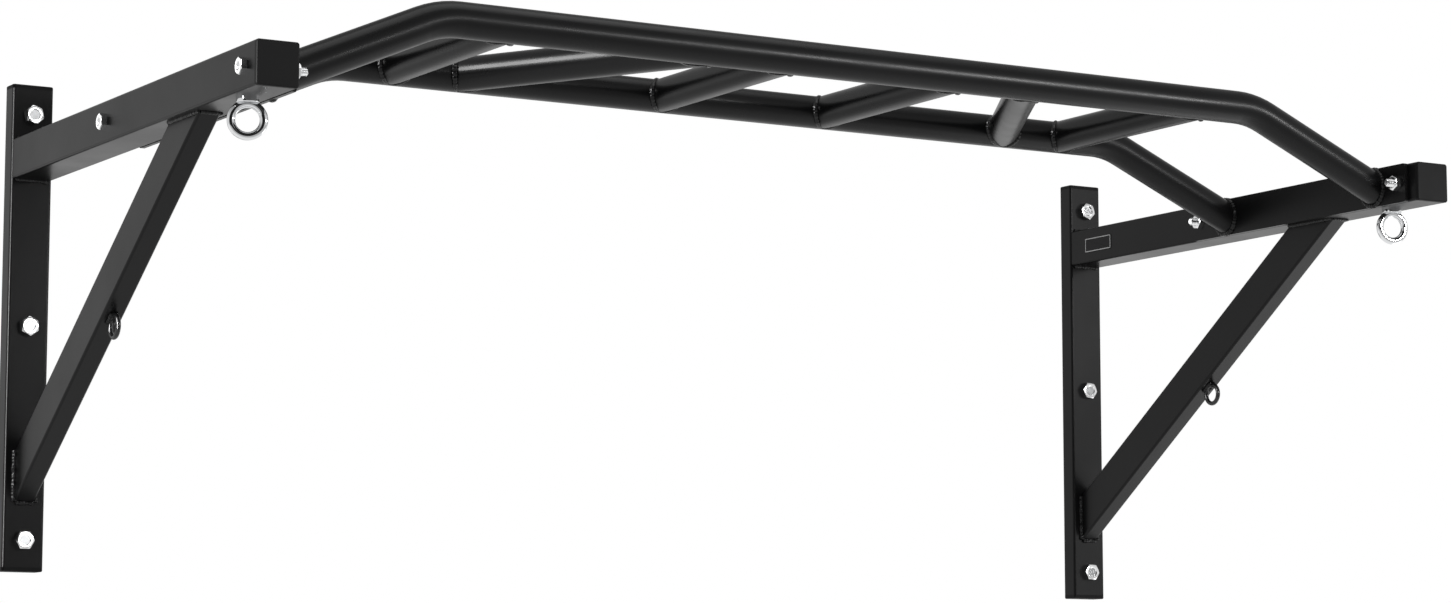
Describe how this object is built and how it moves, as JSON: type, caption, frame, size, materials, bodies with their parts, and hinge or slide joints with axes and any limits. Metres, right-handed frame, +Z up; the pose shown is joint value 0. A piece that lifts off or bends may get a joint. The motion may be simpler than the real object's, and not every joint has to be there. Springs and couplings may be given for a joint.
{
  "type": "pull-up bar",
  "caption": "Wall-mounted multi-grip pull-up bar: two welded tube brackets carrying a bolted frame of bent bars with coped neutral and angled grips, eye bolts and band rings.",
  "frame": {"origin": "in the wall plane, at the middle of the six wall bolts, half-way between the two brackets", "axes": "+X along the wall to the right as seen from the room, +Y into the wall, +Z up; the arms stand out towards -Y"},
  "size_m": [1.2726, 0.611, 0.4684],
  "materials": {
    "powder_coat": "satin black powder coat with a fine texture",
    "black_plastic": "matte moulded plastic",
    "zinc_steel": "bright zinc plated steel",
    "chrome_steel": "polished chrome"
  },
  "bodies": {
    "root": {"angled_grip_left": "powder_coat", "angled_grip_right": "powder_coat", "arm_bolts": "zinc_steel", "arm_end_cap_left": "black_plastic", "arm_end_cap_right": "black_plastic", "arm_left": "powder_coat", "arm_nuts": "zinc_steel", "arm_right": "powder_coat", "band_ring_left": "powder_coat", "band_ring_right": "powder_coat", "brace_left": "powder_coat", "brace_right": "powder_coat", "eye_bolt_left": "chrome_steel", "eye_bolt_right": "chrome_steel", "eye_nuts": "zinc_steel", "front_grip_bar": "powder_coat", "mounting_plate_left": "powder_coat", "mounting_plate_right": "powder_coat", "narrow_grip_left": "powder_coat", "narrow_grip_right": "powder_coat", "rear_grip_bar": "powder_coat", "upright_bottom_cap_left": "black_plastic", "upright_bottom_cap_right": "black_plastic", "upright_left": "powder_coat", "upright_right": "powder_coat", "upright_top_cap_left": "black_plastic", "upright_top_cap_right": "black_plastic", "wall_bolts": "zinc_steel", "wide_grip_left": "powder_coat", "wide_grip_right": "powder_coat"}
  },
  "joints": []
}
